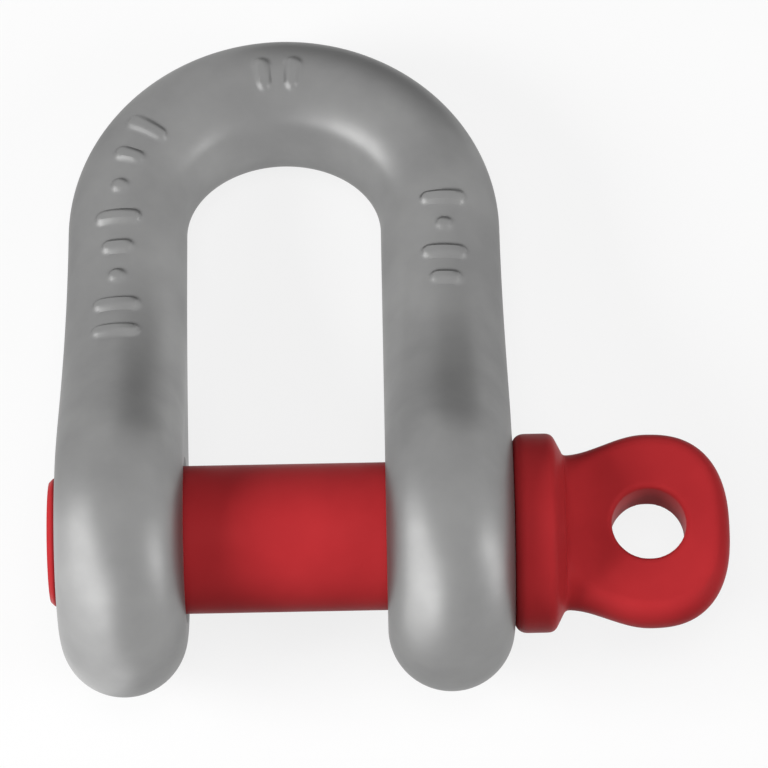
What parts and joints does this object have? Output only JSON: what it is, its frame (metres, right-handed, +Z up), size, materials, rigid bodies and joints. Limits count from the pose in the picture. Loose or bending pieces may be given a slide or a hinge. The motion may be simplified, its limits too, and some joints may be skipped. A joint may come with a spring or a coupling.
{
  "type": "screw pin chain shackle",
  "caption": "Forged D-shaped joining shackle: round-bar bow with two ears, closed by a red screw pin with a collar and a flat eye.",
  "frame": {"origin": "on the pin's axis, midway between the two ears", "axes": "+X along the pin towards its eye, +Y towards the crown along the surface that the shackle lies on, +Z up"},
  "size_m": [0.1166, 0.1265, 0.0536],
  "materials": {
    "galvanised_steel": "matte hot-dip galvanised forging",
    "red_paint": "satin red paint on a forged and turned pin"
  },
  "bodies": {
    "bow": {"shackle_bow": "galvanised_steel"},
    "pin": {"screw_pin": "red_paint"}
  },
  "joints": [
    {"name": "pin_draw", "type": "slide", "parent": "bow", "child": "pin", "axis": [1, 0, 0], "range_m": [0, 0.095]}
  ]
}
